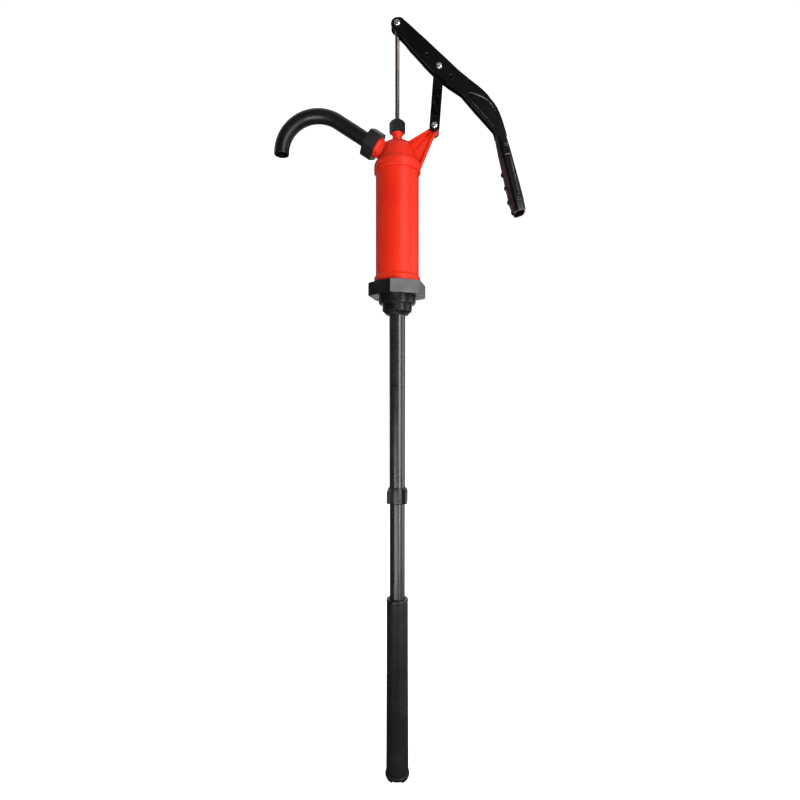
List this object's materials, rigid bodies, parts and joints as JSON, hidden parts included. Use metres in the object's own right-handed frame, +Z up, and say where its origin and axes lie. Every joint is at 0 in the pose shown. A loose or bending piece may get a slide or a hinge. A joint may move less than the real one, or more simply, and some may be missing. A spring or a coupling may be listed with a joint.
{
  "type": "drum barrel pump",
  "caption": "Lever operated drum barrel pump: barrel with piston, link and lever on top, curved swivelling spout, hexagonal bung adapter and telescopic suction tube.",
  "frame": {"origin": "centre of the bung seat, the underside of the hexagonal flange of the bung adapter, on the tube axis", "axes": "+Z up along the plunger rod and barrel axis, +X towards the lever and handle, so the spout points to -X"},
  "size_m": [0.403, 0.0938, 1.2095],
  "materials": {
    "red_polypropylene": "satin moulded red polypropylene",
    "black_nylon": "satin moulded black glass-filled nylon",
    "black_polypropylene": "satin moulded black polypropylene",
    "tube_polyethylene": "semi-gloss extruded black polyethylene",
    "rod_steel": "drawn stainless steel",
    "zinc_steel": "bright zinc plated",
    "seal_rubber": "matte nitrile rubber",
    "white_acetal": "matte white acetal",
    "ptfe": "matte PTFE"
  },
  "bodies": {
    "pump": {"pump_barrel": "red_polypropylene", "pump_head": "red_polypropylene", "bung_adapter": "black_polypropylene", "barrel_gasket": "seal_rubber", "head_o_ring": "seal_rubber", "gland_packing": "ptfe", "gland_washer": "white_acetal", "gland_nut": "black_nylon", "foot_valve_seat": "white_acetal", "foot_valve_cage": "white_acetal", "suction_tube_upper": "tube_polyethylene", "tube_coupler": "black_polypropylene", "suction_tube_lower": "tube_polyethylene", "tube_end_ring": "white_acetal", "union_nut": "black_nylon", "spout_gasket": "seal_rubber", "fulcrum_screw": "zinc_steel", "fulcrum_nut": "zinc_steel", "fulcrum_bush": "rod_steel"},
    "plunger": {"piston_rod": "rod_steel", "piston_body": "white_acetal", "piston_seal": "seal_rubber", "piston_valve_stop": "white_acetal", "piston_washer": "rod_steel", "piston_nut": "rod_steel"},
    "piston_valve": {"piston_valve_disc": "seal_rubber"},
    "foot_valve": {"foot_valve_disc": "seal_rubber"},
    "lever": {"lever_arm": "black_nylon", "rod_pin_screw": "zinc_steel", "rod_pin_nut": "zinc_steel", "link_pin_screw": "zinc_steel", "link_pin_nut": "zinc_steel"},
    "link": {"link_arm": "black_nylon"},
    "sleeve": {"suction_sleeve": "tube_polyethylene", "sleeve_collar": "black_polypropylene", "sleeve_o_ring": "seal_rubber", "foot_strainer": "black_polypropylene", "strainer_screen": "rod_steel"},
    "spout": {"spout_tube": "black_polypropylene"}
  },
  "joints": [
    {"name": "plunger_slide", "type": "slide", "parent": "pump", "child": "plunger", "axis": [0, 0, 1], "range_m": [-0.09, 0]},
    {"name": "lever_pivot", "type": "hinge", "parent": "plunger", "child": "lever", "pos_m": [0, 0, 0.4335], "axis": [0, 1, 0], "range_deg": [-54.35, 0]},
    {"name": "link_pivot", "type": "hinge", "parent": "pump", "child": "link", "pos_m": [0.0591, 0, 0.2677], "axis": [0, 1, 0], "range_deg": [0, 18.76]},
    {"name": "spout_swivel", "type": "hinge", "parent": "pump", "child": "spout", "pos_m": [-0.0395, 0, 0.2454], "axis": [-0.8339, 0, 0.5519], "continuous": true},
    {"name": "sleeve_slide", "type": "slide", "parent": "pump", "child": "sleeve", "axis": [0, 0, 1], "range_m": [-0.095, 0.145]},
    {"name": "foot_valve_lift", "type": "slide", "parent": "pump", "child": "foot_valve", "axis": [0, 0, 1], "range_m": [0, 0.004]},
    {"name": "piston_valve_lift", "type": "slide", "parent": "plunger", "child": "piston_valve", "axis": [0, 0, 1], "range_m": [0, 0.003]}
  ],
  "couplings": [
    {"joint": "lever_pivot", "follows": "plunger_slide", "rad_per_m": 10.5},
    {"joint": "link_pivot", "follows": "plunger_slide", "rad_per_m": -3.6}
  ]
}
